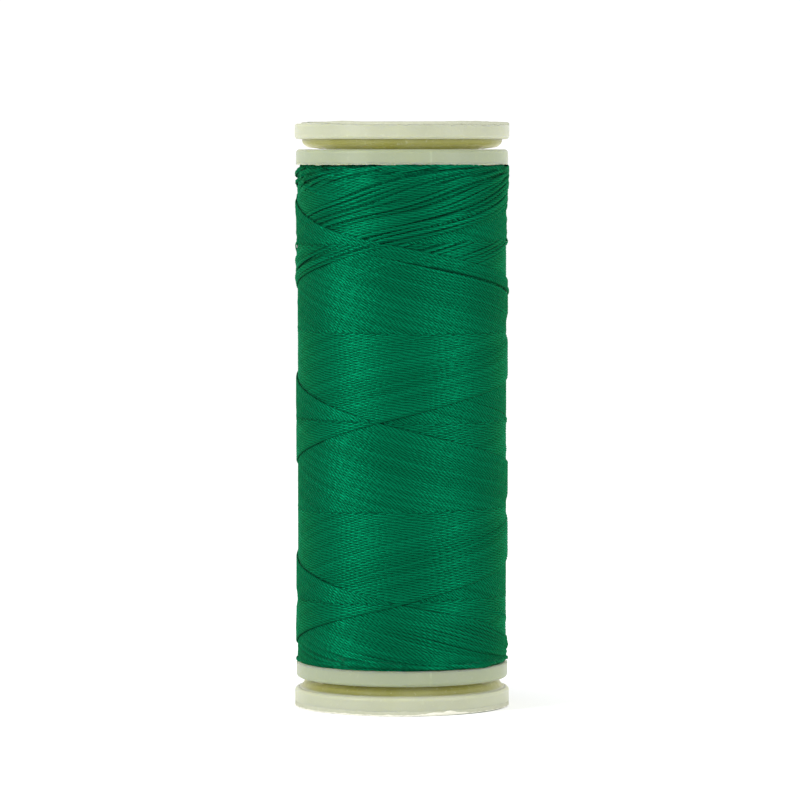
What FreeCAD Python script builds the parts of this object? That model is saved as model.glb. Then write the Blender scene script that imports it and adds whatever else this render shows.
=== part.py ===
import FreeCAD, Part
import os
from types import SimpleNamespace

import Sketcher

# A snap-end spool of sewing thread, in millimetres. +Z is the spool's axis. The origin is the
# centre of the face that it stands on, the outer face of the lower label. The core carries the
# thread between its two flanges. An end cap on a slotted stem snaps into each end of the core,
# and slides out a little to open the groove that locks the thread's tail.

SHEET = "Dimensions"
DIMENSIONS = {
    # core: barrel, flanges and the sockets for the two caps
    "core_length": 62.75,
    "barrel_radius": 8.0,
    "flange_radius": 12.58,
    "flange_thickness": 1.75,
    "flange_round": 0.42,
    "socket_radius": 6.2,
    "socket_lead_in": 0.4,
    "detent_radius": 6.62,
    "ridge_radius": 6.53,
    "open_detent_start": 4.7,
    "ridge_start": 6.1,
    "ridge_end": 6.4,
    "closed_detent_end": 8.1,
    "keyway_width": 1.76,
    "keyway_radius": 6.75,
    "keyway_depth": 3.2,
    # end caps: disc, boss, stem, bead and keys
    "cap_radius": 12.75,
    "cap_thickness": 1.85,
    "cap_outer_round": 0.3,
    "cap_inner_round": 0.42,
    "tail_groove": 1.2,
    "closed_clearance": 0.05,
    "boss_root_radius": 11.85,
    "boss_edge_radius": 11.3,
    "boss_seat_radius": 9.65,
    "boss_bevel": 0.22,
    "boss_round": 0.45,
    "recess_outer_radius": 9.3,
    "recess_inner_radius": 7.4,
    "recess_depth": 1.7,
    "recess_rib_width": 0.8,
    "recess_rib_drop": 0.4,
    "recess_rib_root": 0.3,
    "stem_radius": 6.12,
    "stem_length": 7.99,
    "pin_bore_radius": 4.0,
    "pin_bore_length": 6.0,
    "finger_inner_radius": 4.9,
    "finger_slot_width": 1.4,
    "finger_slot_depth": 4.6,
    "bead_radius": 6.5,
    "bead_height": 1.0,
    "bead_ramp": 0.3,
    "bead_lead_in": 0.5,
    "key_width": 1.6,
    "key_radius": 6.6,
    "key_length": 2.59,
    # paper labels on the outer faces of the caps, the lower one thicker and fluffed at its edge
    "label_radius": 12.65,
    "label_hole_radius": 4.4,
    "upper_label_thickness": 0.2,
    "lower_label_thickness": 0.35,
    # wound thread: the buried layers and the visible ones
    "winding_gap": 0.04,
    "inner_winding_radius": 11.2,
    "body_winding_radius": 12.46,
    "shoulder_winding_radius": 12.7,
    "shoulder_height": 0.9,
    "shoulder_reach": 4.5,
    "shoulder_drop": 0.5,
}
FINGERS = 4
RECESS_RIBS = 6
KEYS = 2
LOWEST_VOLUME_CHANGE = 0.05


class Size:
    """A length with the spreadsheet expression that gives it."""

    def __init__(self, number, text=None):
        self.number = float(number)
        self.text = text or repr(float(number))

    def joined(self, sign, other, number):
        return Size(number, f"({self.text} {sign} {other.text})")

    def __add__(self, other):
        return self.joined("+", other, self.number + other.number)

    def __sub__(self, other):
        return self.joined("-", other, self.number - other.number)

    def __mul__(self, factor):
        return self.joined("*", Size(factor), self.number * factor)

    def __neg__(self):
        return self * -1


ZERO = Size(0)

document = FreeCAD.newDocument("thread_spool")
sheet = document.addObject("Spreadsheet::Sheet", SHEET)
for row, (word, number) in enumerate(DIMENSIONS.items(), start=1):
    sheet.set(f"A{row}", word)
    sheet.set(f"B{row}", str(number))
    sheet.setAlias(f"B{row}", word)
document.recompute()
D = SimpleNamespace(**{word: Size(number, f"{SHEET}.{word}") for word, number in DIMENSIONS.items()})


def bind(owner, path, size):
    owner.setExpression(path, size.text)


def new_body(name):
    body = document.addObject("PartDesign::Body", name)
    body.Label = name
    return body


def origin_plane(body, role):
    return next(part for part in body.Origin.OriginFeatures if part.Role == role)


def new_sketch(body, name, role, height=ZERO, turn=0):
    """A sketch on one of the body's own planes, raised by height and turned about its normal."""
    sketch = body.newObject("Sketcher::SketchObject", name)
    sketch.AttachmentSupport = [(origin_plane(body, role), "")]
    sketch.MapMode = "FlatFace"
    sketch.AttachmentOffset = FreeCAD.Placement(
        FreeCAD.Vector(0, 0, height.number), FreeCAD.Rotation(FreeCAD.Vector(0, 0, 1), turn)
    )
    if height.number:
        bind(sketch, "AttachmentOffset.Base.z", height)
    return sketch


def hold(sketch, kind, axis, edge, size):
    """Holds the start of an edge at a signed distance from the sketch's origin."""
    if size.number == 0:
        sketch.addConstraint(Sketcher.Constraint("PointOnObject", edge, 1, axis))
        return
    index = sketch.addConstraint(Sketcher.Constraint(kind, -1, 1, edge, 1, size.number))
    bind(sketch, f"Constraints[{index}]", size)


def outline(sketch, corners):
    """A closed outline of straight edges, each corner held by its two coordinates."""
    points = [FreeCAD.Vector(across.number, up.number, 0) for across, up in corners]
    for start, end in zip(points, points[1:] + points[:1]):
        sketch.addGeometry(Part.LineSegment(start, end), False)
    for edge, (across, up) in enumerate(corners):
        following = (edge + 1) % len(corners)
        sketch.addConstraint(Sketcher.Constraint("Coincident", edge, 2, following, 1))
        hold(sketch, "DistanceX", -2, edge, across)
        hold(sketch, "DistanceY", -1, edge, up)


def rectangle(sketch, left, right, width):
    """A rectangle from left to right, centred on the sketch's horizontal axis."""
    half = width * 0.5
    outline(sketch, [(left, -half), (right, -half), (right, half), (left, half)])


def revolved(body, name, corners):
    """The solid that a profile of (radius, height) corners sweeps about the body's Z axis."""
    sketch = new_sketch(body, f"{name}_profile", "XZ_Plane")
    outline(sketch, corners)
    feature = body.newObject("PartDesign::Revolution", name)
    feature.Profile = sketch
    feature.ReferenceAxis = (sketch, ["V_Axis"])
    feature.Angle = 360
    document.recompute()
    return feature


def extruded(body, kind, name, sketch, length, copies=1):
    """A pad up from the sketch or a pocket down from it, repeated around the Z axis."""
    before = body.Shape.Volume
    feature = body.newObject(f"PartDesign::{kind}", name)
    feature.Profile = sketch
    bind(feature, "Length", length)
    document.recompute()
    if copies > 1:
        pattern = body.newObject("PartDesign::PolarPattern", f"{name}_pattern")
        pattern.Originals = [feature]
        pattern.Axis = (sketch, ["N_Axis"])
        pattern.Angle = 360
        pattern.Occurrences = copies
        body.Tip = pattern
        document.recompute()
    if before and abs(body.Shape.Volume - before) < LOWEST_VOLUME_CHANGE:
        raise RuntimeError(f"{name} changed nothing")


def rounded(body, name, circles, size):
    """Fillets the circular edges at the given (radius, height) places."""
    document.recompute()
    base = body.Tip
    found = [
        f"Edge{index}"
        for index, edge in enumerate(base.Shape.Edges, start=1)
        for radius, height in circles
        if isinstance(edge.Curve, Part.Circle)
        and abs(edge.Curve.Radius - radius.number) < 1e-4
        and abs(edge.Curve.Center.z - height.number) < 1e-4
    ]
    if len(found) < len(circles):
        raise RuntimeError(f"{name} found {len(found)} edges")
    fillet = body.newObject("PartDesign::Fillet", name)
    fillet.Base = (base, found)
    bind(fillet, "Radius", size)
    document.recompute()


def make_core():
    """The barrel with both flanges, one moulding, bored through, with a detent at each end."""
    body = new_body("spool_core")
    top = D.core_length

    def socket(height):
        """The corners of one socket from its mouth inwards, height being a depth's level."""
        return [
            (D.socket_radius + D.socket_lead_in, height(ZERO)),
            (D.socket_radius, height(D.socket_lead_in)),
            (D.socket_radius, height(D.open_detent_start)),
            (D.detent_radius, height(D.open_detent_start)),
            (D.detent_radius, height(D.ridge_start)),
            (D.ridge_radius, height(D.ridge_start)),
            (D.ridge_radius, height(D.ridge_end)),
            (D.detent_radius, height(D.ridge_end)),
            (D.detent_radius, height(D.closed_detent_end)),
            (D.socket_radius, height(D.closed_detent_end)),
        ]

    lower_socket = socket(lambda depth: depth)
    upper_socket = socket(lambda depth: top - depth)
    flanged_side = [
        (D.flange_radius, top),
        (D.flange_radius, top - D.flange_thickness),
        (D.barrel_radius, top - D.flange_thickness),
        (D.barrel_radius, D.flange_thickness),
        (D.flange_radius, D.flange_thickness),
        (D.flange_radius, ZERO),
    ]
    revolved(body, "core_turning", lower_socket + upper_socket[::-1] + flanged_side)
    for end, height in (("lower", D.keyway_depth), ("upper", top)):
        sketch = new_sketch(body, f"{end}_keyway_sketch", "XY_Plane", height)
        rectangle(sketch, -D.keyway_radius, D.keyway_radius, D.keyway_width)
        extruded(body, "Pocket", f"{end}_keyways", sketch, D.keyway_depth)
    outer_edges = [(D.flange_radius, ZERO), (D.flange_radius, top)]
    rounded(body, "flange_rounds", outer_edges, D.flange_round)
    bind(body, "Placement.Base.z", lower_stack)
    return body


def make_end_cap(name):
    """One end cap, its outer face at Z 0 and its stem upwards: a disc with a cored boss that
    closes on the flange, and a tubular stem whose tip is split into fingers with a bead."""
    body = new_body(name)
    disc = D.cap_thickness
    seat = D.cap_thickness + D.tail_groove - D.closed_clearance
    tip = seat + D.stem_length
    bead_top = tip - D.bead_lead_in
    bead_foot = bead_top - D.bead_height
    recess_floor = seat - D.recess_depth
    revolved(
        body,
        f"{name}_turning",
        [
            (D.pin_bore_radius, ZERO),
            (D.cap_radius, ZERO),
            (D.cap_radius, disc),
            (D.boss_root_radius, disc),
            (D.boss_edge_radius, seat - D.boss_bevel),
            (D.boss_seat_radius, seat),
            (D.recess_outer_radius, seat),
            (D.recess_outer_radius, recess_floor),
            (D.recess_inner_radius, recess_floor),
            (D.recess_inner_radius, seat),
            (D.stem_radius, seat),
            (D.stem_radius, bead_foot - D.bead_ramp),
            (D.bead_radius, bead_foot),
            (D.bead_radius, bead_top),
            (D.stem_radius, tip),
            (D.finger_inner_radius, tip),
            (D.finger_inner_radius, D.pin_bore_length),
            (D.pin_bore_radius, D.pin_bore_length),
        ],
    )
    ribs = new_sketch(body, f"{name}_rib_sketch", "XY_Plane", recess_floor)
    rib_start = D.recess_inner_radius - D.recess_rib_root
    rib_end = D.recess_outer_radius + D.recess_rib_root
    rectangle(ribs, rib_start, rib_end, D.recess_rib_width)
    rib_height = D.recess_depth - D.recess_rib_drop
    extruded(body, "Pad", f"{name}_ribs", ribs, rib_height, RECESS_RIBS)
    keys = new_sketch(body, f"{name}_key_sketch", "XY_Plane", seat)
    rectangle(keys, D.finger_inner_radius, D.key_radius, D.key_width)
    extruded(body, "Pad", f"{name}_keys", keys, D.key_length, KEYS)
    slots = new_sketch(body, f"{name}_slot_sketch", "XY_Plane", tip, turn=180 / FINGERS)
    rectangle(slots, ZERO, D.key_radius, D.finger_slot_width)
    extruded(body, "Pocket", f"{name}_finger_slots", slots, D.finger_slot_depth, FINGERS)
    rounded(body, f"{name}_outer_round", [(D.cap_radius, ZERO)], D.cap_outer_round)
    rounded(body, f"{name}_inner_round", [(D.cap_radius, disc)], D.cap_inner_round)
    boss_edge = [(D.boss_edge_radius, seat - D.boss_bevel)]
    rounded(body, f"{name}_boss_round", boss_edge, D.boss_round)
    return body


def make_label(name, thickness):
    """One paper label, a thin ring with its glued face at the top."""
    body = new_body(name)
    revolved(
        body,
        f"{name}_ring",
        [
            (D.label_hole_radius, ZERO),
            (D.label_radius, ZERO),
            (D.label_radius, thickness),
            (D.label_hole_radius, thickness),
        ],
    )
    return body


def raise_over_core(body, height):
    """Turns a piece upside down and sets its lowest face at the given height."""
    body.Placement = FreeCAD.Placement(
        FreeCAD.Vector(0, 0, height.number), FreeCAD.Rotation(FreeCAD.Vector(1, 0, 0), 180)
    )
    bind(body, "Placement.Base.z", height)


def make_windings(foot, span):
    """The buried layers of thread as a plain ring, and the visible ones as a ring with a low
    shoulder by each flange, where the thread turns back."""
    inner = new_body("thread_inner_winding")
    revolved(
        inner,
        "inner_layers",
        [
            (D.barrel_radius + D.winding_gap, ZERO),
            (D.inner_winding_radius, ZERO),
            (D.inner_winding_radius, span),
            (D.barrel_radius + D.winding_gap, span),
        ],
    )
    outer = new_body("thread_outer_winding")
    edge_radius = D.shoulder_winding_radius - D.shoulder_drop
    inside = D.inner_winding_radius + D.winding_gap
    revolved(
        outer,
        "outer_layers",
        [
            (inside, ZERO),
            (edge_radius, ZERO),
            (D.shoulder_winding_radius, D.shoulder_height),
            (D.body_winding_radius, D.shoulder_reach),
            (D.body_winding_radius, span - D.shoulder_reach),
            (D.shoulder_winding_radius, span - D.shoulder_height),
            (edge_radius, span),
            (inside, span),
        ],
    )
    for body in (inner, outer):
        bind(body, "Placement.Base.z", foot)
    return [inner, outer]


def failed_objects():
    return [part.Name for part in document.Objects if {"Invalid", "Error"} & set(part.State)]


lower_stack = D.lower_label_thickness + D.cap_thickness + D.tail_groove
core_top = lower_stack + D.core_length
overall_height = core_top + D.tail_groove + D.cap_thickness + D.upper_label_thickness
winding_foot = lower_stack + D.flange_thickness + D.winding_gap
winding_span = D.core_length - D.flange_thickness * 2 - D.winding_gap * 2

lower_cap = make_end_cap("lower_end_cap")
bind(lower_cap, "Placement.Base.z", D.lower_label_thickness)
upper_cap = make_end_cap("upper_end_cap")
raise_over_core(upper_cap, overall_height - D.upper_label_thickness)
lower_label = make_label("lower_label", D.lower_label_thickness)
upper_label = make_label("upper_label", D.upper_label_thickness)
raise_over_core(upper_label, overall_height)
pieces = [
    make_core(),
    lower_cap,
    upper_cap,
    lower_label,
    upper_label,
    *make_windings(winding_foot, winding_span),
]
document.recompute()

failed = failed_objects()
if failed:
    raise RuntimeError(f"objects failed: {failed}")
for piece in pieces:
    if piece.Shape.isNull() or not piece.Shape.isValid() or len(piece.Shape.Solids) != 1:
        raise RuntimeError(f"{piece.Label} isn't one valid solid")

os.makedirs("parts", exist_ok=True)
for piece in pieces:
    piece.Shape.exportStep(f"parts/{piece.Label}.step")
    box = piece.Shape.BoundBox
    print(f"{piece.Label}: {piece.Shape.Volume:.1f} mm3, Z {box.ZMin:.2f} to {box.ZMax:.2f}")
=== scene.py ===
import math

import bpy
import numpy as np
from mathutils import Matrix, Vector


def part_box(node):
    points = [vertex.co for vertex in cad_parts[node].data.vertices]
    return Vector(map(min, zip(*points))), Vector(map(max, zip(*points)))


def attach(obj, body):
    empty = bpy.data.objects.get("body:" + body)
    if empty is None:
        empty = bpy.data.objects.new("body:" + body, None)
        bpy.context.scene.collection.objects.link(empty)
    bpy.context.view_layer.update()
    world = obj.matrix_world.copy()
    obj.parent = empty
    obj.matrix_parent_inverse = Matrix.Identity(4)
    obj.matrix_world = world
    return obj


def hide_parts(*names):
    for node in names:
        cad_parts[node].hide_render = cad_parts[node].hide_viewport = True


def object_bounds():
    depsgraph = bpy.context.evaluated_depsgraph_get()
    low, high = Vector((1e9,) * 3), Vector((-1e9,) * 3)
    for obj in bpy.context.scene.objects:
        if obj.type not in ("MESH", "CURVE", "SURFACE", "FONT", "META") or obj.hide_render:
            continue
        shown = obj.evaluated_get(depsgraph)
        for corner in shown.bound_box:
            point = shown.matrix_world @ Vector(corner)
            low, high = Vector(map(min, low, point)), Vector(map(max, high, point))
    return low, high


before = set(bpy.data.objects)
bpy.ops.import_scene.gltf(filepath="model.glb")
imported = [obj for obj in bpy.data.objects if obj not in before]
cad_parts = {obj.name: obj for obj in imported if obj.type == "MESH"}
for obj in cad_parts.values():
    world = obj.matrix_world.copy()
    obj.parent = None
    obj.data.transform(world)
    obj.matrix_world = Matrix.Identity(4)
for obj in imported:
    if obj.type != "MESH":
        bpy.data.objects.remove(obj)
cad_low, cad_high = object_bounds()

# The winding is worked out in millimetres, with the spool's axis on Z and the angle measured
# from the front (-Y) towards +X. Everything is turned into metres as it becomes a mesh.
MM = 0.001
FULL_TURN = 2 * math.pi
random = np.random.default_rng(7)

core_low, core_high = (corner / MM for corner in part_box("spool_core"))
winding_low, winding_high = (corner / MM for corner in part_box("thread_outer_winding"))
inner_winding_radius = -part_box("thread_inner_winding")[0].x / MM
cap_radius = cad_high.x / MM
overall_height = cad_high.z / MM

# ---------------------------------------------------------------- thread and winding sizes

THREAD_RADIUS = 0.168       # as wound, side by side
STRAND_HEIGHT = 0.165       # how far its crown stands over its centre line
STRAND_FLATNESS = 0.62      # 1 for a round section, less for one pressed flat on top
EDGE_OVERLAP = 0.28         # share of the radius by which a strand's edges reach under the next
EDGE_DIVE = 0.7             # share of the strand's height by which those edges dive
EDGE_CURVE = 1.3            # 1 for a straight dive, more for one that steepens
PLIES = 3
PLY_FILL = 0.35             # how far the valleys between the round plies are filled with fibres
PLY_WIDTH_SHARE = 0.15      # how much of a strand's width comes and goes with its plies
LAY_LENGTH = 2.22           # mm along the thread for one turn of its plies, Z twist
TWIST = FULL_TURN / LAY_LENGTH
PLY_SLANT = math.atan(THREAD_RADIUS * TWIST)
STREAKS_ROUND = {True: 43, False: 162}      # plies met in one turn at one height, rising or not
PHASE_SCATTER = 0.07        # mm by which the plies of neighbouring wraps fall out of step
PHASE_MEMORY = 0.8          # share of that shift which the next wrap keeps
OWN_PLY_REACH = (0.8, 3.5)  # mm from a flange over which the plies come into step
SCALE_RANGE = (0.98, 1.03)  # how much thinner or thicker a wrap is than the thread

WRAPS_PER_COVER = 65        # wraps that one family needs to cover the package once
COVERS = 2.2                # how many covers are wound on top of the smooth buried layers
PITCH = 21.36               # mm of traverse in one turn
UPPER_CORNER = 66.3         # height where the straight stretches would meet, past the flange
TURNS_PER_STROKE = 3 + 0.5 / WRAPS_PER_COVER
LOWER_CORNER = UPPER_CORNER - PITCH * TURNS_PER_STROKE
FRONT_CROSSING = math.radians(-15)          # where the last two strokes cross on the front
YIELD_SHARE = 0.24          # how unevenly the traverse runs within a turn
YIELD_PHASE = math.radians(77)
SLIDE_HEIGHTS = (12.9, 34.2, 55.6)          # of the three crossings on the front
SLIDES = {
    # mm by which the wraps slid upwards as they were laid, at each of the three heights: on the
    # whole of the front, and further on its right than on its left. Rising strokes come first.
    True: ((-0.4, 0, -1.1), (-0.4, -0.4, -0.4)),
    False: ((1.3, 0.2, 0.2), (0.8, 0.1, 0.8)),
}
SLIDE_FADE = 4              # mm from a flange within which nothing slides far

BODY_RADIUS = 12.44         # of the package's surface between its shoulders
SHOULDER_RADIUS = 12.6      # of the surface beside each flange
SHOULDER_REACH = 3.2        # mm over which a shoulder runs down to the body
END_DROP = 0.42             # mm by which the package rounds off at the upper flange
LOWER_END_DROP = 0.28       # and at the lower one
CORNER_DROP = 0.5           # mm by which it rounds off further at the left of the upper flange
CORNER_ANGLE = math.radians(-80)
CORNER_REACH = math.radians(35)
END_REACH = 0.8             # mm from a flange over which it rounds off
END_FILL = 0.15             # mm by which the buried layers come nearer to the surface there
GREATEST_RADIUS = 12.735    # that no crown of a strand may pass

FINE_WANDER = 0.012         # mm, the quickest wander of every stroke
STRAY_SHARE = 0.05          # strokes that leave their lane somewhere
UPPER_STRAY_SHARE = 0.45    # rising strokes that leave it at the front, near the upper flange
UPPER_STRAY_ANGLE = math.radians(10)
UPPER_STRAY_HEIGHT = 55.5   # the lowest height where they do
STRAY_SIZE = 0.3            # mm, how far a stray wrap leaves its lane, on the whole
TURN_SCATTER = {True: 0.2, False: 0.05}     # mm, how unevenly the strokes turn back at the top
                                            # and at the foot
SUPPORT_SHARE = 0.6         # share of its radius each side on which a wrap rests
SEAT_SHARE = 0.72           # share of its radius between that support and its centre line
BRIDGE = 5                  # columns over which a wrap spans a dip before it touches down
LARGEST_RISE = 0.27         # mm, how far a wrap may lie over or under the mean surface
BURIED_DEPTH = 0.2          # mm from the mean surface down to the buried layers
SLEEVE_WALL = 2.0           # mm that the buried layers reach in past the inner winding's surface

COLUMNS = 1008              # grid cells round the package
ROW_HEIGHT = 0.05
BAND_ROWS = 4               # rows each side of a wrap's centre line
RING_STEP = 2               # columns from one ring of a wrap's mesh to the next
PLY_LINES = 12              # lines of points round a strand, four to a ply
VISIBLE_ANGLE = math.radians(104)
RUN_WINDOW = 13             # columns, twice the length by which a run outlasts its bare stretch
SHADE = 0.9                 # how dark the painted shade makes a wrap where it slips under another
SHADE_REACH = 9             # columns over which that shade fades out
SHADE_GAIN = 2.6            # how soon the shade is full
FOOT_SHADE = 0.4            # share of the painted shade that is left beside the lower flange
FOOT_REACH = 2.5            # mm above that flange over which the shade comes back
FULL_ROWS = 5               # grid rows that a wrap shows when nothing lies on it


def smooth_step(low, high, value):
    share = np.clip((value - low) / (high - low), 0, 1)
    return share * share * (3 - 2 * share)


def blurred(values, spread, wrap=False):
    """values run through a Gaussian of the given spread, in samples."""
    reach = int(3 * spread) + 1
    offsets = np.arange(-reach, reach + 1)
    weights = np.exp(-0.5 * (offsets / spread) ** 2)
    weights /= weights.sum()
    padded = np.pad(values, reach, mode="wrap" if wrap else "edge")
    return np.convolve(padded, weights, mode="valid")


# ---------------------------------------------------------------- the path of each stroke

foot = winding_low.z + THREAD_RADIUS
head = winding_high.z - THREAD_RADIUS
column_angle = FULL_TURN / COLUMNS
rows = int(math.ceil((winding_high.z - winding_low.z) / ROW_HEIGHT))


def guide_turns(angle):
    """The traverse guide's turn count at an angle: it runs a little ahead and behind."""
    return (angle + YIELD_SHARE * np.sin(angle + YIELD_PHASE)) / FULL_TURN


def turned_back(turns, corner_turns, corner, limit, way):
    """Straight height towards a corner, rounded so that it just reaches the flange's limit."""
    span = 4 * abs(corner - limit) / PITCH
    away = turns - corner_turns
    straight = corner - way * PITCH * np.abs(away)
    rounded = corner - way * PITCH * (span / 4 + away**2 / span)
    return np.where(np.abs(away) < span / 2, rounded, straight)


def stroke_heights(turns, start_turns, rising, limits):
    """Heights of one stroke between its lower and upper limits, at the guide's turn counts."""
    end_turns = start_turns + TURNS_PER_STROKE
    low_turns, high_turns = (start_turns, end_turns) if rising else (end_turns, start_turns)
    near_top = turned_back(turns, high_turns, UPPER_CORNER, limits[1], 1)
    near_foot = turned_back(turns, low_turns, LOWER_CORNER, limits[0], -1)
    middle = (LOWER_CORNER + UPPER_CORNER) / 2
    return np.where(near_top > middle, near_top, near_foot)


def slid(angles, heights, rising):
    """How far a stroke slid upwards at each of its points, fading out towards the back and
    towards the flanges."""
    front, right = (np.interp(heights, SLIDE_HEIGHTS, sizes) for sizes in SLIDES[rising])
    slide = front * (1 + np.cos(angles)) / 2 + right * np.sin(angles)
    from_end = np.minimum(heights - foot, head - heights)
    return slide * smooth_step(0, SLIDE_FADE, from_end)


WAVES = [
    # turns per wave, strokes per wave, size in mm, phase
    (2.3, 37, 0.10, random.uniform(0, FULL_TURN)),
    (0.9, 23, 0.05, random.uniform(0, FULL_TURN)),
    (0.43, 51, 0.08, random.uniform(0, FULL_TURN)),
    (0.21, 17, 0.03, random.uniform(0, FULL_TURN)),
]


def wander(index, rising, angles, heights):
    """The sideways wander of one stroke, in mm. Neighbours wander nearly alike, as each wrap
    nestles against the one before, but a stray one leaves its lane here and there, most often
    a rising one at the front, near the upper flange."""
    along = np.arange(len(angles)) / COLUMNS
    offset = np.zeros(len(angles))
    for turns_per_wave, strokes_per_wave, size, phase in WAVES:
        turn = along / turns_per_wave + (index // 2) / strokes_per_wave
        offset += size * np.sin(FULL_TURN * turn + phase + (index % 2) * 2)
    offset += FINE_WANDER * np.sin(FULL_TURN * along / 0.5 + random.uniform(0, FULL_TURN))
    places = []
    if random.random() < STRAY_SHARE:
        places.append(random.uniform(0, along[-1]))
    if rising and random.random() < UPPER_STRAY_SHARE:
        on_front = np.cos(angles - UPPER_STRAY_ANGLE) > 0.3
        front = along[on_front & (heights > UPPER_STRAY_HEIGHT)]
        if len(front):
            places.append(random.choice(front))
    for middle in places:
        reach = random.uniform(0.07, 0.22)
        size = STRAY_SIZE * (random.choice([-1, 1]) * random.uniform(0.5, 1.2))
        offset += size * np.exp(-(((along - middle) / reach) ** 2))
    return offset


# ---------------------------------------------------------------- laying the thread

def lay_thread():
    """Winds the thread stroke by stroke on a grid of surface heights. Returns the strokes with
    the height of each one's centre line, the surface, and which stroke is on top where."""
    surface = np.zeros((rows, COLUMNS))
    owner = np.full((rows, COLUMNS), -1)
    strokes = []
    count = int(WRAPS_PER_COVER * COVERS) * 2 + 1
    last_start = guide_turns(FRONT_CROSSING) - 0.5 - TURNS_PER_STROKE
    first_start = last_start - (count - 1) * TURNS_PER_STROKE
    offsets = np.arange(-BAND_ROWS, BAND_ROWS + 1)
    limits = [foot, head]
    for index in range(count):
        rising = index % 2 == 0
        start = first_start + index * TURNS_PER_STROKE
        first = int((start - 0.1) * COLUMNS)
        angles = np.arange(first, first + int((TURNS_PER_STROKE + 0.2) * COLUMNS)) * column_angle
        turns = guide_turns(angles)
        inside = (turns >= start) & (turns < start + TURNS_PER_STROKE)
        angles, turns = angles[inside], turns[inside]
        scatter = random.exponential(TURN_SCATTER[rising])
        limits[rising] = head - scatter if rising else foot + scatter
        heights = stroke_heights(turns, start, rising, limits)
        heights += slid(angles, heights, rising) + wander(index, rising, angles, heights)
        heights = np.clip(heights, foot, head)
        slope = np.gradient(heights) / (BODY_RADIUS * column_angle)
        columns = np.round(angles / column_angle).astype(int) % COLUMNS
        level = (heights - winding_low.z) / ROW_HEIGHT
        row = np.clip(np.floor(level).astype(int)[:, None] + offsets, 0, rows - 1)
        away = (row + 0.5 - level[:, None]) * ROW_HEIGHT / np.sqrt(1 + slope**2)[:, None]
        under = surface[row, columns[:, None]]
        weight = np.abs(away) < SUPPORT_SHARE * THREAD_RADIUS
        support = (under * weight).sum(1) / weight.sum(1)
        spanned = np.maximum(blurred(support, 2), blurred(support, BRIDGE))
        centre = blurred(spanned, 3) + SEAT_SHARE * THREAD_RADIUS
        crown = np.sqrt(np.maximum(THREAD_RADIUS**2 - away**2, 0))
        raised = centre[:, None] + crown
        above = (np.abs(away) < THREAD_RADIUS) & (raised > under)
        cells = row[above], np.broadcast_to(columns[:, None], row.shape)[above]
        surface[cells] = raised[above]
        owner[cells] = index
        strokes.append((rising, angles, heights, centre, columns, row))
    return strokes, surface, owner


def package_radius(height, angle):
    """The mean outer radius of the wound package at a height and an angle."""
    from_end = np.minimum(height - winding_low.z, winding_high.z - height)
    shoulder = (SHOULDER_RADIUS - BODY_RADIUS) * (1 - smooth_step(0, SHOULDER_REACH, from_end))
    middle = (winding_low.z + winding_high.z) / 2
    from_corner = (angle - CORNER_ANGLE + math.pi) % FULL_TURN - math.pi
    corner_drop = CORNER_DROP * np.exp(-((from_corner / CORNER_REACH) ** 2))
    drop = np.where(height > middle, END_DROP + corner_drop, LOWER_END_DROP)
    drop = drop * (1 - smooth_step(0, END_REACH, from_end))
    return BODY_RADIUS + shoulder - drop


strokes, surface, owner = lay_thread()
row_heights = winding_low.z + (np.arange(rows) + 0.5) * ROW_HEIGHT
mean_surface = blurred(surface.mean(1), 5)


def settled(rise):
    """How far a wrap stands out once the tension has pressed it into those beneath."""
    return LARGEST_RISE * np.tanh(rise / LARGEST_RISE)


def centre_radius(angles, heights, centre):
    """Where a wrap's centre line lies, out from the axis."""
    above_mean = centre - np.interp(heights, row_heights, mean_surface)
    radius = package_radius(heights, angles) + settled(above_mean)
    return np.minimum(radius, GREATEST_RADIUS - STRAND_HEIGHT)


# ---------------------------------------------------------------- meshes

def new_object(name, points, faces, material, body):
    mesh = bpy.data.meshes.new(name)
    mesh.from_pydata(points, [], faces)
    mesh.materials.append(material)
    mesh.update()
    piece = bpy.data.objects.new(name, mesh)
    bpy.context.scene.collection.objects.link(piece)
    mesh.polygons.foreach_set("use_smooth", np.ones(len(mesh.polygons), bool))
    if body:
        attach(piece, body)
    return piece


def ring_faces(rings, around):
    """Quads between each ring of points and the next, the last one joined to the first."""
    index = np.arange(rings * around).reshape(rings, around)
    after, beside = np.roll(index, -1, axis=0), np.roll(index, -1, axis=1)
    return np.stack([index, beside, np.roll(after, -1, axis=1), after], -1).reshape(-1, 4)


def visible_runs(index, columns, row):
    """Stretches of a stroke where it is on top, a little longer at both ends, and how dark a
    painted shade makes each point where the stroke slips under another."""
    bare_rows = (owner[row, columns[:, None]] == index).sum(1)
    grown = np.convolve(bare_rows >= 2, np.ones(RUN_WINDOW), mode="same") > 0
    edges = np.flatnonzero(np.diff(np.concatenate(([0], grown.astype(int), [0]))))
    runs = [(a, b) for a, b in edges.reshape(-1, 2) if b - a > 3 * RING_STEP]
    bare = np.minimum(bare_rows / FULL_ROWS, 1)
    bare = np.convolve(bare, np.ones(SHADE_REACH) / SHADE_REACH, mode="same")
    return runs, np.clip(SHADE_GAIN * (1 - bare), 0, 1) * SHADE


def ply_outline(turn):
    """How far the outline of three round plies side by side reaches, 1 on a ply's ridge."""
    half = math.pi / PLIES
    from_ridge = turn % (2 * half) - half
    middle = 1 / math.sin(half)
    round_plies = middle * np.cos(from_ridge)
    round_plies += np.sqrt(np.maximum(1 - (middle * np.sin(from_ridge)) ** 2, 0))
    return PLY_FILL + (1 - PLY_FILL) * round_plies / (1 + middle)


LINE_TURNS = np.arange(PLY_LINES) * FULL_TURN / PLY_LINES
LINE_REACH = ply_outline(LINE_TURNS)
# how deep each line of points lies between the plies, 0 on a ridge: the strength of the painted
# shade there
LINE_VALLEY_SHADE = (1 - LINE_REACH) / (1 - LINE_REACH.min())


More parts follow.
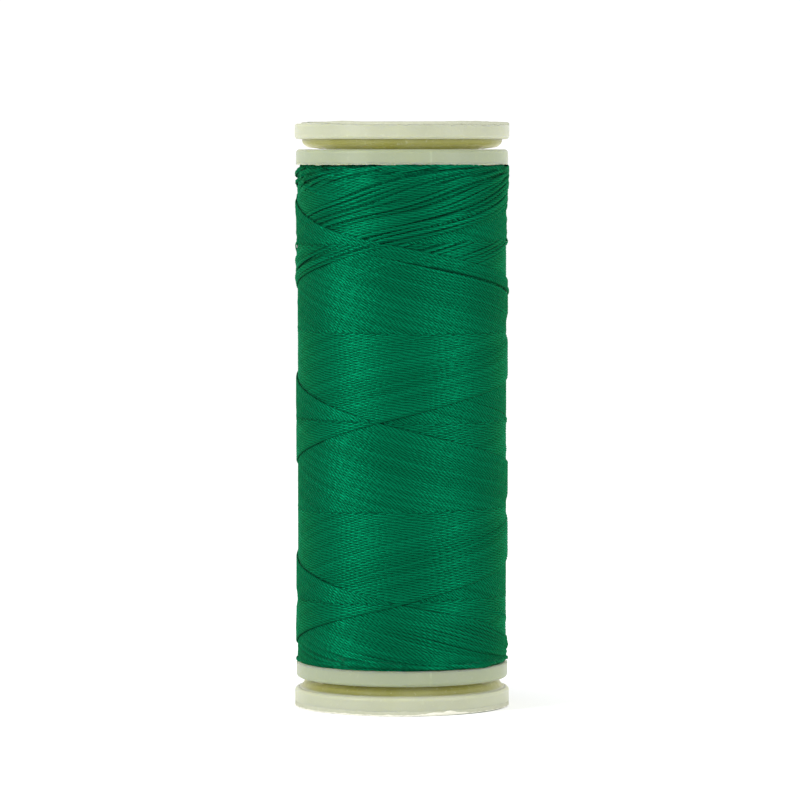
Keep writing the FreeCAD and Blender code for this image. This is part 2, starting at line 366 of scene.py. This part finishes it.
WOBBLE = [
    # waves round the package, waves per mm of height, size in mm, phase
    (5, 0.31, 0.16, random.uniform(0, FULL_TURN)),
    (13, -0.47, 0.12, random.uniform(0, FULL_TURN)),
    (23, 0.6, 0.07, random.uniform(0, FULL_TURN)),
    (41, -0.2, 0.06, random.uniform(0, FULL_TURN)),
]


def ply_travel(rising, angles, heights):
    """Length along the thread at each point of a stroke, as its twist counts it. Neighbouring
    wraps keep in step, so that their plies line up in long slanting streaks; near the flanges,
    where the wraps swing round, each one just follows its own length."""
    climb = math.atan(PITCH / (FULL_TURN * BODY_RADIUS)) * (1 if rising else -1)
    around = STREAKS_ROUND[rising] * LAY_LENGTH / PLIES / FULL_TURN
    upwards = math.sin(climb) + math.cos(climb) / math.tan(PLY_SLANT)
    in_step = around * angles + upwards * heights
    own = np.hypot(BODY_RADIUS * column_angle, np.gradient(heights))
    from_end = np.minimum(heights - winding_low.z, winding_high.z - heights)
    near_end = 1 - smooth_step(*OWN_PLY_REACH, from_end)
    travel = np.cumsum(np.gradient(in_step) * (1 - near_end) + own * near_end)
    middle = len(angles) // 2
    travel += in_step[middle] - travel[middle]
    for around, upwards, size, phase in WOBBLE:
        travel += size * np.sin(around * angles + FULL_TURN * upwards * heights + phase)
    return travel


def pressed_section(about):
    """Where a strand's outline lies at an angle about it: its shares of the thread's radius
    sideways and of its height outwards. Its top is nearly flat, its edges dive steeply."""
    turn = (about + math.pi) % FULL_TURN - math.pi
    edge = math.pi / PLIES
    on_top = np.minimum(np.abs(turn), edge)
    beyond = np.clip((np.abs(turn) - edge) / (VISIBLE_ANGLE - edge), 0, 1)
    sideways = np.sign(turn) * (on_top / edge + EDGE_OVERLAP * np.sin(beyond * math.pi / 2))
    outwards = np.cos(STRAND_FLATNESS * on_top) - EDGE_DIVE * beyond**EDGE_CURVE
    return sideways, outwards


def wrap_points(angles, heights, radius, along, scale):
    """Rings of points for one stretch of three-ply thread, and each point's angle about the
    strand, 0 being outwards."""
    out = np.stack([np.sin(angles), -np.cos(angles), np.zeros(len(angles))], 1)
    line = out * radius[:, None]
    line[:, 2] = heights
    way = np.gradient(line, axis=0)
    way /= np.linalg.norm(way, axis=1)[:, None]
    out -= way * (out * way).sum(1)[:, None]
    out /= np.linalg.norm(out, axis=1)[:, None]
    side = np.cross(way, out)
    about = LINE_TURNS[None, :] + TWIST * along[:, None]
    sideways, outwards = pressed_section(about)
    sideways *= THREAD_RADIUS * scale * (1 - PLY_WIDTH_SHARE + PLY_WIDTH_SHARE * LINE_REACH)
    outwards *= STRAND_HEIGHT * scale * LINE_REACH
    points = line[:, None, :] + out[:, None, :] * outwards[:, :, None]
    points += side[:, None, :] * sideways[:, :, None]
    return points, about


class Strands:
    """Collects stretches of thread that become one mesh. Only the outward side is kept."""

    def __init__(self):
        self.points, self.faces, self.tone, self.uv, self.painted_shade = [], [], [], [], []
        self.count = 0

    def add(self, points, about, along, tone, shade):
        rings = len(along)
        index = self.count + np.arange(rings * PLY_LINES).reshape(rings, PLY_LINES)
        beside = np.roll(index, -1, axis=1)
        quads = np.stack([index[:-1], beside[:-1], beside[1:], index[1:]], -1)
        middle = (about[:-1] + about[1:] + FULL_TURN / PLY_LINES) / 2
        outward = np.cos(middle) > math.cos(VISIBLE_ANGLE)
        across = np.broadcast_to(np.arange(PLY_LINES) / PLY_LINES, (rings - 1, PLY_LINES))
        start = np.broadcast_to(along[:-1, None], across.shape)
        stop = np.broadcast_to(along[1:, None], across.shape)
        step = 1 / PLY_LINES
        corners = [(start, across), (start, across + step), (stop, across + step), (stop, across)]
        uv = np.stack([np.stack(corner, -1) for corner in corners], 2)
        self.points.append(points.reshape(-1, 3) * MM)
        self.faces.append(quads[outward])
        self.uv.append(uv[outward])
        self.tone.append(np.full(rings * PLY_LINES, tone))
        # painted shade per point: the deeper of the ply valley's shade and the slip-under shade
        self.painted_shade.append(np.maximum(LINE_VALLEY_SHADE[None, :], shade[:, None]).ravel())
        self.count += rings * PLY_LINES

    def build(self, name, material):
        faces = np.concatenate(self.faces)
        used = np.zeros(self.count, bool)
        used[faces] = True
        new_index = np.cumsum(used) - 1
        points = np.concatenate(self.points)[used]
        piece = new_object(name, points, new_index[faces], material, "core")
        mesh = piece.data
        for word, values in (("painted_shade", self.painted_shade), ("tone", self.tone)):
            attribute = mesh.attributes.new(word, "FLOAT", "POINT")
            values = np.concatenate(values)[used]
            attribute.data.foreach_set("value", values.astype(np.float32))
        layer = mesh.uv_layers.new(name="along_strand")
        layer.data.foreach_set("uv", np.concatenate(self.uv).astype(np.float32).ravel())
        return piece


# ---------------------------------------------------------------- materials

class Nodes:
    """A small helper for writing a material's node tree."""

    def __init__(self, name):
        self.material = bpy.data.materials.new(name)
        self.material.use_nodes = True
        self.tree = self.material.node_tree
        self.shader = self.tree.nodes["Principled BSDF"]

    def node(self, kind, **values):
        made = self.tree.nodes.new(kind)
        for word, value in values.items():
            if word in made.inputs:
                made.inputs[word].default_value = value
            else:
                setattr(made, word, value)
        return made

    def link(self, source, target):
        self.tree.links.new(source, target)

    def set(self, **values):
        for word, value in values.items():
            self.shader.inputs[word.replace("_", " ")].default_value = value

    def attribute(self, word):
        return self.node("ShaderNodeAttribute", attribute_name=word).outputs["Fac"]

    def noise(self, scale, detail=3, vector=None):
        made = self.node("ShaderNodeTexNoise")
        made.inputs["Scale"].default_value = scale
        made.inputs["Detail"].default_value = detail
        if vector is not None:
            self.link(vector, made.inputs["Vector"])
        return made.outputs["Fac"]

    def place(self):
        return self.node("ShaderNodeTexCoord").outputs["Object"]

    def ramp(self, value, low, high, first, second):
        """value mapped from low..high to first..second."""
        made = self.node("ShaderNodeMapRange")
        self.link(value, made.inputs["Value"])
        for word, number in zip(("From Min", "From Max", "To Min", "To Max"),
                                (low, high, first, second)):
            made.inputs[word].default_value = number
        return made.outputs["Result"]

    def calculate(self, operation, *values):
        """The result of a math node, from other nodes' outputs and plain numbers."""
        made = self.node("ShaderNodeMath", operation=operation)
        for socket, value in zip(made.inputs, values):
            if isinstance(value, bpy.types.NodeSocket):
                self.link(value, socket)
            else:
                socket.default_value = value
        return made.outputs["Value"]

    def separated(self, place):
        """The X, Y and Z of a place."""
        split = self.node("ShaderNodeSeparateXYZ")
        self.link(place, split.inputs["Vector"])
        return tuple(split.outputs)

    def from_axis(self, place):
        """How far a place is from the spool's axis."""
        flat = self.node("ShaderNodeVectorMath", operation="MULTIPLY")
        self.link(place, flat.inputs[0])
        flat.inputs[1].default_value = (1, 1, 0)
        length = self.node("ShaderNodeVectorMath", operation="LENGTH")
        self.link(flat.outputs["Vector"], length.inputs[0])
        return length.outputs["Value"]

    def mix(self, share, first, second):
        """A colour mixed from two, each a colour or another node's output."""
        made = self.node("ShaderNodeMix", data_type="RGBA")
        for socket, value in (("Factor", share), ("A", first), ("B", second)):
            target = next(s for s in made.inputs
                          if s.name == socket and (socket == "Factor" or s.type == "RGBA"))
            if isinstance(value, bpy.types.NodeSocket):
                self.link(value, target)
            elif socket == "Factor":
                target.default_value = value
            else:
                target.default_value = (*value, 1)
        return next(s for s in made.outputs if s.type == "RGBA")

    def bump(self, height, distance, strength=1.0, under=None):
        made = self.node("ShaderNodeBump")
        made.inputs["Strength"].default_value = strength
        made.inputs["Distance"].default_value = distance
        self.link(height, made.inputs["Height"])
        if under is not None:
            self.link(under, made.inputs["Normal"])
        return made.outputs["Normal"]


def thread_material():
    m = Nodes("green_thread")
    fibre_map = m.node("ShaderNodeMapping")
    m.link(m.node("ShaderNodeUVMap", uv_map="along_strand").outputs["UV"],
           fibre_map.inputs["Vector"])
    fibre_map.inputs["Scale"].default_value = (2.2, 27, 1)
    fibres = m.noise(1.0, 3, fibre_map.outputs["Vector"])
    lit = m.mix(m.attribute("tone"), (0.0002, 0.078, 0.031), (0.0003, 0.116, 0.048))
    # painted shade: the colour darkens to near black with the per-point shade attribute, in ply
    # valleys and where a wrap slips under another
    shaded = m.mix(m.ramp(m.attribute("painted_shade"), 0.05, 1.0, 0, 0.92), lit, (0.0001, 0.008, 0.004))
    flecked = m.mix(m.ramp(fibres, 0.35, 0.75, 0, 0.3), shaded, (0.0006, 0.20, 0.09))
    m.link(flecked, m.shader.inputs["Base Color"])
    m.link(m.ramp(fibres, 0.3, 0.7, 0.3, 0.42), m.shader.inputs["Roughness"])
    m.link(m.bump(fibres, 0.02 * MM, 0.6), m.shader.inputs["Normal"])
    m.set(Metallic=0.6, Specular_IOR_Level=0.0, Specular_Tint=(0.02, 0.9, 0.5, 1),
          Sheen_Weight=0.05, Sheen_Roughness=0.4, Sheen_Tint=(0.7, 1, 0.9, 1))
    return m.material


def buried_material():
    m = Nodes("buried_thread_painted_shade")
    place = m.place()
    tone = m.noise(900, 4, place)
    # painted shade: a darker green than the strands' own, for the buried layers seen in shade
    # through gaps
    m.link(m.mix(tone, (0.0003, 0.04, 0.018), (0.0005, 0.09, 0.04)), m.shader.inputs["Base Color"])
    m.link(m.bump(tone, 0.1 * MM), m.shader.inputs["Normal"])
    m.set(Roughness=0.8, Specular_IOR_Level=0.1)
    return m.material


def plastic_material(name, rim, depth, rim_radius, shaded_groove_radius, seat_radius, parting, sheen):
    """Ivory plastic: pale on the rims, painted darker and yellower inside the grooves as the shade
    there, and painted lightest inside, where its faces meet, as the light that passes through
    it. The mould's parting line runs down the front and the back, as strongly as parting says."""
    m = Nodes(name)
    place = m.place()
    x, y, _ = m.separated(place)
    radius = m.from_axis(place)
    # painted shade: going inwards from the rim, the groove's darker depth colour takes over from
    # the rim colour
    outwards = m.ramp(radius, shaded_groove_radius * MM, rim_radius * MM, 0, 1)
    cloud = m.noise(260, 4, place)
    speckle = m.noise(2600, 3, place)
    paler = tuple(min(channel * 1.35, 1) for channel in rim)
    # painted light: faces inside the seat radius turn pale, a glow standing in for light passing
    # through the plastic
    inwards = m.ramp(radius, (seat_radius - 0.1) * MM, seat_radius * MM, 1, 0)
    base = m.mix(inwards, m.mix(outwards, depth, rim), PLASTIC_INSIDE_GLOW)
    clouded = m.mix(m.ramp(cloud, 0.35, 0.7, 0, 0.18), base, paler)
    worn = m.mix(m.ramp(speckle, 0.6, 0.75, 0, 0.3), clouded, paler)
    doubled = m.calculate("MULTIPLY_ADD", m.calculate("ARCTAN2", x, y), 2, 2 * PARTING_ANGLE)
    seam = m.ramp(m.calculate("COSINE", doubled), 0.9996, 0.9999, 0, 1)
    gaps = m.ramp(m.noise(900, 2, place), 0.4, 0.6, 0, parting)
    m.link(m.mix(m.calculate("MULTIPLY", seam, gaps), worn, paler), m.shader.inputs["Base Color"])
    m.link(m.ramp(cloud, 0.3, 0.7, 0.38, 0.5), m.shader.inputs["Roughness"])
    m.link(m.bump(speckle, 0.02 * MM, 0.5, m.bump(cloud, 0.05 * MM, 0.5)),
           m.shader.inputs["Normal"])
    m.set(Subsurface_Weight=0.8, Subsurface_Radius=(1.0, 0.9, 0.4), Subsurface_Scale=1.0 * MM,
          Specular_IOR_Level=0.3, Sheen_Weight=sheen, Sheen_Roughness=0.35,
          Sheen_Tint=(1, 0.98, 0.85, 1))
    return m.material


def stage_material():
    m = Nodes("pale_floor")
    tone = m.noise(3, 2, m.place())
    m.link(m.mix(tone, (0.94, 0.94, 0.94), (0.96, 0.96, 0.96)), m.shader.inputs["Base Color"])
    m.set(Roughness=0.9, Specular_IOR_Level=0.1)
    return m.material


# ---------------------------------------------------------------- the wound thread

def build_winding():
    """The outermost strokes as real strands, in pieces by family and by height."""
    groups = {}
    thirds = ("lower", "middle", "upper")
    third = (winding_high.z - winding_low.z) / 3
    shift = 0
    for index, (rising, angles, heights, centre, columns, row) in enumerate(strokes):
        radius = centre_radius(angles, heights, centre)
        tone = random.uniform(0, 1)
        scale = random.uniform(*SCALE_RANGE)
        shift = PHASE_MEMORY * shift + random.normal(0, PHASE_SCATTER)
        along = ply_travel(rising, angles, heights) + shift
        runs, shade = visible_runs(index, columns, row)
        above_foot = smooth_step(0, FOOT_REACH, heights - winding_low.z)
        shade *= FOOT_SHADE + (1 - FOOT_SHADE) * above_foot
        for start, stop in runs:
            keep = np.arange(start, stop, RING_STEP)
            zone = np.clip((heights[keep] - winding_low.z) // third, 0, 2).astype(int)
            for number in range(3):
                chosen = np.flatnonzero(zone == number)
                if len(chosen) < 2:
                    continue
                if chosen[0] > 0:
                    chosen = np.concatenate(([chosen[0] - 1], chosen))
                picked = keep[chosen]
                key = ("rising" if rising else "falling", thirds[number])
                rings = wrap_points(angles[picked], heights[picked], radius[picked],
                                    along[picked], scale)
                strands = groups.setdefault(key, Strands())
                strands.add(*rings, along[picked], tone, shade[picked])
    material = thread_material()
    return [
        strands.build(f"{family}_wraps_{place}", material)
        for (family, place), strands in sorted(groups.items())
    ]


def build_buried_layers():
    """A closed sleeve just under the visible strands, coloured a darker green than the strands as
    painted shade where gaps show it.
    """
    around = COLUMNS // 3
    angle = (np.arange(around) + 0.5) * FULL_TURN / around
    level = np.linspace(1, rows - 2, rows // 3).astype(int)
    beneath = surface.reshape(rows, around, 3).mean(2)
    beneath = (beneath[level - 1] + beneath[level] + beneath[level + 1]) / 3
    height = row_heights[level]
    from_end = np.minimum(height - winding_low.z, winding_high.z - height)
    filled = END_FILL * np.maximum(1 - from_end / END_REACH, 0)
    radius = package_radius(height[:, None], angle) - BURIED_DEPTH + filled[:, None]
    radius = radius + settled(beneath - mean_surface[level][:, None])
    inside = inner_winding_radius - SLEEVE_WALL
    radius = np.concatenate([radius[:1], radius, radius[-1:], np.full((2, around), inside)])
    height = np.concatenate([[winding_low.z], height, [winding_high.z] * 2, [winding_low.z]])
    height = np.broadcast_to(height[:, None], radius.shape)
    points = np.stack([radius * np.sin(angle), -radius * np.cos(angle), height], -1)
    faces = ring_faces(len(radius), around)
    return new_object("buried_layers", points.reshape(-1, 3) * MM, faces, buried_material(),
                      "core")


wraps = build_winding()
buried = build_buried_layers()
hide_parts("thread_inner_winding")
for piece in wraps:
    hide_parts("thread_outer_winding")

# ---------------------------------------------------------------- plastic and paper

EDGE_STEPS = 1080           # points round each ring
FLANGE_RADIUS = 12.58
CAP_THICKNESS = 1.85
CAP_OUTER_ROUND = 0.3
CLOSED_CLEARANCE = 0.05     # between a closed cap's boss and its flange
BOSS_ROOT_RADIUS = 11.85
BOSS_EDGE_RADIUS = 11.3
BOSS_BEVEL = 0.22           # gap under the boss's edge at the sides
BOSS_CONTACT = 0.04         # how much of the clearance it takes up at the front and back
BOSS_GAP_SPAN = (0.79, 0.86)                # shares of the radius where that gap opens
PARTING_ANGLE = math.radians(15.5)
# painted glow of light passing through the plastic, on faces inside a seat
PLASTIC_INSIDE_GLOW = (0.86, 0.86, 0.5)
LABEL_HOLE = 4.4
LABEL_CENTRE_RADIUS = 6.9   # of the printed disc round the hole
LABEL_TICK_RADIUS = 9.3     # where the ticks begin
LABEL_BAND_RADIUS = 10.4    # where the printed band begins
LABEL_TICKS = 24
INK_EDGE = 0.05
LABEL_INK = (0.004, 0.075, 0.04)
LABEL_PAPER = (0.37, 0.38, 0.29)
LABEL_PAPER_DARK = (0.31, 0.32, 0.23)

edge_angle = np.arange(EDGE_STEPS) * FULL_TURN / EDGE_STEPS
lower_label_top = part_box("lower_label")[1].z / MM
upper_label_low, upper_label_high = (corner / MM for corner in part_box("upper_label"))


def rough_noise(waves, spread):
    """Noise around the axis, about -1 to 1: sines of the given counts per turn, each with a
    random phase, blurred over spread samples."""
    total = np.zeros(EDGE_STEPS)
    for count in waves:
        total += np.sin(count * edge_angle + random.uniform(0, FULL_TURN)) / len(waves)
    jagged = blurred(random.normal(0, 1, EDGE_STEPS), spread, wrap=True)
    return total + 0.6 * jagged / jagged.std()


def lifted(places):
    """Smooth bumps round the axis, each an (angle, reach, height) in degrees and mm."""
    total = np.zeros(EDGE_STEPS)
    for middle, reach, height in places:
        away = (edge_angle - math.radians(middle) + math.pi) % FULL_TURN - math.pi
        total += height * np.exp(-((away / math.radians(reach)) ** 2))
    return total


def make_ring(name, outline, material, body):
    """A closed ring from an outline of (radius, height) pairs, each an array of values round
    the axis or one number, listed so that the ring's outside is on the right."""
    points = []
    for radius, height in outline:
        height = np.broadcast_to(height, EDGE_STEPS)
        x, y = radius * np.sin(edge_angle), -radius * np.cos(edge_angle)
        points.append(np.stack([x, y, height], 1))
    faces = ring_faces(len(outline), EDGE_STEPS)
    return new_object(name, np.concatenate(points) * MM, faces, material, body)


def paper_material(face_height, inwards, margin, light, dark):
    """Uncoated paper, with a generic green ring and tick marks printed on its outer face, up
    to a margin. The ink fades out over the given distance inwards."""
    m = Nodes("label_paper")
    place = m.place()
    x, y, z = m.separated(place)
    radius = m.from_axis(place)

    def beyond(limit):
        """0 within a radius in mm, 1 outside it, with a slightly soft edge."""
        return m.ramp(radius, limit * MM, (limit + INK_EDGE) * MM, 0, 1)

    fibres = m.noise(2400, 4, place)
    paper = m.mix(m.ramp(fibres, 0.3, 0.7, 0, 0.5), light, dark)
    wave = m.calculate("COSINE", m.calculate("MULTIPLY", m.calculate("ARCTAN2", x, y), LABEL_TICKS))
    ticks = m.calculate("MULTIPLY", m.ramp(wave, 0.93, 0.95, 0, 1), beyond(LABEL_TICK_RADIUS))
    printed = m.mix(ticks, paper, LABEL_INK)
    printed = m.mix(beyond(LABEL_BAND_RADIUS), printed, LABEL_INK)
    printed = m.mix(beyond(LABEL_CENTRE_RADIUS), LABEL_INK, printed)
    printed = m.mix(beyond(margin), printed, paper)
    near_face = m.ramp(z, face_height * MM, (face_height + inwards) * MM, 1, 0)
    m.link(m.mix(near_face, paper, printed), m.shader.inputs["Base Color"])
    m.link(m.bump(fibres, 0.03 * MM, 0.8), m.shader.inputs["Normal"])
    m.set(Roughness=0.85, Specular_IOR_Level=0.15)
    return m.material


def make_lower_label():
    """The thick lower label, pressed a little way up round the cap's edge, and the white torn
    fibres that stand off its rim."""
    top = lower_label_top
    lip = top + CAP_OUTER_ROUND + 0.04 * rough_noise((9, 17, 31, 53), 3)
    out = cap_radius - 0.01 + 0.012 * rough_noise((7, 13, 29), 3)
    low = 0.04 + 0.02 * rough_noise((11, 19), 4)
    outline = [
        (LABEL_HOLE, top), (12.3, top), (cap_radius - 0.15, lip - 0.15), (out - 0.03, lip),
        (out, lip - 0.05), (out, top * 0.5), (out - 0.05, low), (out - 0.15, 0.0),
        (11.5, 0.0), (LABEL_HOLE, 0.0),
    ]
    paper = paper_material(0.01, 0.08, 13, LABEL_PAPER, LABEL_PAPER_DARK)
    piece = make_ring("lower_label_paper", outline, paper, "lower_cap")
    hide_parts("lower_label")
    fluff = 0.15 + lifted([(30, 60, 0.03)]) + 0.035 * rough_noise((23, 41, 67), 2)
    fluff += lifted([(26, 4, 0.42), (17, 5, 0.28), (33, 3, 0.16), (-32, 5, 0.08)])
    hem = 0.02 + lifted([(52, 32, 0.08)]) + 0.01 * rough_noise((13, 37), 2)
    hem = np.minimum(hem, fluff - 0.04)
    edge = cap_radius + 0.02 + 0.012 * rough_noise((19, 43), 2)
    outline = [(edge - 0.12, fluff - 0.02), (edge - 0.04, fluff), (edge, fluff - 0.04),
               (edge, hem + 0.02), (edge - 0.04, hem), (edge - 0.12, hem)]
    torn = paper_material(-1, 0.01, 13, (0.62, 0.61, 0.52), (0.5, 0.5, 0.42))
    make_ring("lower_label_torn_edge", outline, torn, "lower_cap")


def make_upper_label():
    """The upper label, torn away at the left of the front and lifted in two places."""
    foot = upper_label_low.z
    torn = lifted([(-78, 24, 1.0)])
    face = upper_label_high.z - 0.04 + lifted([(-34, 9, 0.12), (38, 24, 0.1)])
    face += 0.012 * rough_noise((11, 19, 37), 3)
    out = cap_radius - 0.02 + 0.015 * rough_noise((7, 13, 29), 2) - 1.2 * torn
    out = np.minimum(out, cap_radius)
    beyond = np.clip(out - (cap_radius - CAP_OUTER_ROUND), 0, CAP_OUTER_ROUND)
    lip = foot - CAP_OUTER_ROUND + np.sqrt(CAP_OUTER_ROUND**2 - beyond**2)
    lip += 0.03 * rough_noise((17, 31), 2) * (1 - torn)
    outline = [
        (LABEL_HOLE, upper_label_high.z), (11.2, upper_label_high.z), (out - 0.3, face),
        (out - 0.12, face - 0.03), (out - 0.02, face - 0.11), (out, lip), (out - 0.15, lip),
        (12.4, foot - 0.01), (LABEL_HOLE, foot),
    ]
    paper = paper_material(upper_label_low.z + 0.09, -0.03, 11.3, LABEL_PAPER, LABEL_PAPER_DARK)
    piece = make_ring("upper_label_paper", outline, paper, "upper_cap")
    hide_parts("upper_label")


def make_land(name, edge, material):
    """The worn, slightly raised land along the lower flange's edge, where the thread rests."""
    wear = 0.012 * rough_noise((5, 13, 29), 4)
    outline = [
        (FLANGE_RADIUS - 0.05, edge - 0.12), (FLANGE_RADIUS + 0.012, edge - 0.1),
        (FLANGE_RADIUS + 0.005 + wear, edge - 0.03), (FLANGE_RADIUS - 0.12, edge + 0.05 + wear),
        (FLANGE_RADIUS - 0.35, edge + 0.1 + wear), (FLANGE_RADIUS - 0.6, edge + 0.08),
        (FLANGE_RADIUS - 0.6, edge - 0.05),
    ]
    make_ring(name, outline, material, "core")


def make_boss_skin(name, disc, seat, fillet, material, body):
    """The outside of a cap's boss: bowed, with a fillet of the given reach against the disc,
    and at the front and back run down to the flange."""
    way = 1 if seat > disc else -1
    depth = abs(seat - disc)
    side_on = np.abs(np.sin(edge_angle))
    filled = 1 - smooth_step(*BOSS_GAP_SPAN, side_on)
    edge = seat - way * BOSS_BEVEL * (1 - filled) + way * BOSS_CONTACT * filled
    wear = 0.015 * rough_noise((7, 15, 27), 5)
    inside = BOSS_ROOT_RADIUS - 0.9
    outline = [(inside, disc), (BOSS_ROOT_RADIUS + fillet, disc - way * 0.01),
               (BOSS_ROOT_RADIUS + 0.6 * fillet, disc + way * 0.1 * fillet),
               (BOSS_ROOT_RADIUS + 0.25 * fillet, disc + way * 0.3 * fillet)]
    for share in (0.3, 0.5, 0.7, 0.85, 0.95):
        bow = 0.06 + 0.62 * share**3 + 0.02 * share
        height = disc + way * share * (depth - BOSS_BEVEL)
        outline.append((BOSS_ROOT_RADIUS + 0.06 - bow + wear, height))
    outline += [(BOSS_EDGE_RADIUS - 0.1 + wear, edge), (inside, edge)]
    make_ring(name, outline[::-1] if way < 0 else outline, material, body)


def make_flash(name, edge, material):
    """The thin, uneven lip of moulding flash where the upper flange's rim meets the thread."""
    over = 0.05 + 0.035 * rough_noise((5, 11, 23), 3)
    over += lifted([(-5, 5, 0.09), (14, 2, 0.06), (48, 8, 0.05), (-52, 3, 0.05)])
    out = FLANGE_RADIUS + 0.02 + 0.015 * rough_noise((9, 19, 37), 3)
    outline = [
        (FLANGE_RADIUS - 0.02, edge + 0.22), (out, edge + 0.05), (out - 0.01, edge - over),
        (out - 0.09, edge - over), (FLANGE_RADIUS - 0.3, edge + 0.02),
    ]
    make_ring(name, outline, material, "core")


# the second colour of each plastic is the painted shade in its grooves
core_plastic = plastic_material("ivory_core_plastic", (0.235, 0.265, 0.175),
                                (0.28, 0.29, 0.09), 12.2, 12.1, 12.15, 0.55, 0.25)
cap_plastic = plastic_material("ivory_cap_plastic", (0.33, 0.345, 0.25), (0.215, 0.212, 0.04),
                               12.35, 11.95, 11.2, 0, 0.25)
upper_boss_plastic = plastic_material("ivory_upper_boss_plastic", (0.33, 0.345, 0.25),
                                      (0.205, 0.202, 0.035), 12.3, 11.9, 9, 0, 1.0)
# a darker copy of the upper boss's plastic: deeper painted shade in the lower groove, under the
# flange
lower_boss_darker_shade_plastic = plastic_material("ivory_lower_boss_darker_shade_plastic", (0.33, 0.345, 0.25),
                                      (0.18, 0.177, 0.03), 12.3, 11.9, 9, 0, 1.0)
for node, material in (
    ("spool_core", core_plastic),
    ("upper_end_cap", cap_plastic),
    ("lower_end_cap", cap_plastic),
):
    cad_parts[node].material_slots[0].material = material
make_lower_label()
make_upper_label()
make_flash("upper_flange_flash", winding_high.z + 0.04, core_plastic)
make_land("lower_flange_land", winding_low.z - 0.04, core_plastic)
make_boss_skin("upper_cap_boss", upper_label_low.z - CAP_THICKNESS,
               core_high.z + CLOSED_CLEARANCE, 0.1, upper_boss_plastic, "upper_cap")
make_boss_skin("lower_cap_boss", lower_label_top + CAP_THICKNESS,
               core_low.z - CLOSED_CLEARANCE, 0.42, lower_boss_darker_shade_plastic, "lower_cap")

# ---------------------------------------------------------------- stage, light and camera

def make_stage():
    size = 60.0
    around = 96
    points = [(0, 0, 0)] + [
        (size * math.cos(FULL_TURN * i / around), size * math.sin(FULL_TURN * i / around), 0)
        for i in range(around)
    ]
    faces = [(0, 1 + i, 1 + (i + 1) % around) for i in range(around)]
    floor = new_object("floor", points, faces, stage_material(), None)


def make_softbox(name, azimuth, elevation, distance, width, height, power):
    """A rectangular soft light that faces the spool's middle."""
    data = bpy.data.lights.new(name, "AREA")
    data.shape = "RECTANGLE"
    data.size, data.size_y = width, height
    data.energy = power
    light = bpy.data.objects.new(name, data)
    a, e = math.radians(azimuth), math.radians(elevation)
    light.location = (
        distance * math.sin(a) * math.cos(e),
        -distance * math.cos(a) * math.cos(e),
        distance * math.sin(e) + overall_height / 2 * MM,
    )
    light.rotation_euler = (math.pi / 2 - e, 0, a)
    bpy.context.scene.collection.objects.link(light)


def make_world(strength):
    world = bpy.data.worlds.new("studio")
    world.use_nodes = True
    world.node_tree.nodes["Background"].inputs["Color"].default_value = (1, 1, 1, 1)
    world.node_tree.nodes["Background"].inputs["Strength"].default_value = strength
    bpy.context.scene.world = world


def make_camera():
    data = bpy.data.cameras.new("camera")
    data.lens = 212.4
    data.sensor_width = 36
    data.clip_start, data.clip_end = 0.01, 200
    camera = bpy.data.objects.new("camera", data)
    camera.location = (-0.24 * MM, -561 * MM, 66.05 * MM)
    camera.rotation_euler = (math.radians(90 - 3.03), 0, 0)
    bpy.context.scene.collection.objects.link(camera)
    bpy.context.scene.camera = camera


make_stage()
make_softbox("left_softbox", -54, 14, 0.6, 0.1, 0.6, 3.6)
make_softbox("right_softbox", 57, 14, 0.6, 0.1, 0.6, 2.45)
make_world(1.08)
make_camera()
bpy.context.scene.view_settings.view_transform = "Standard"
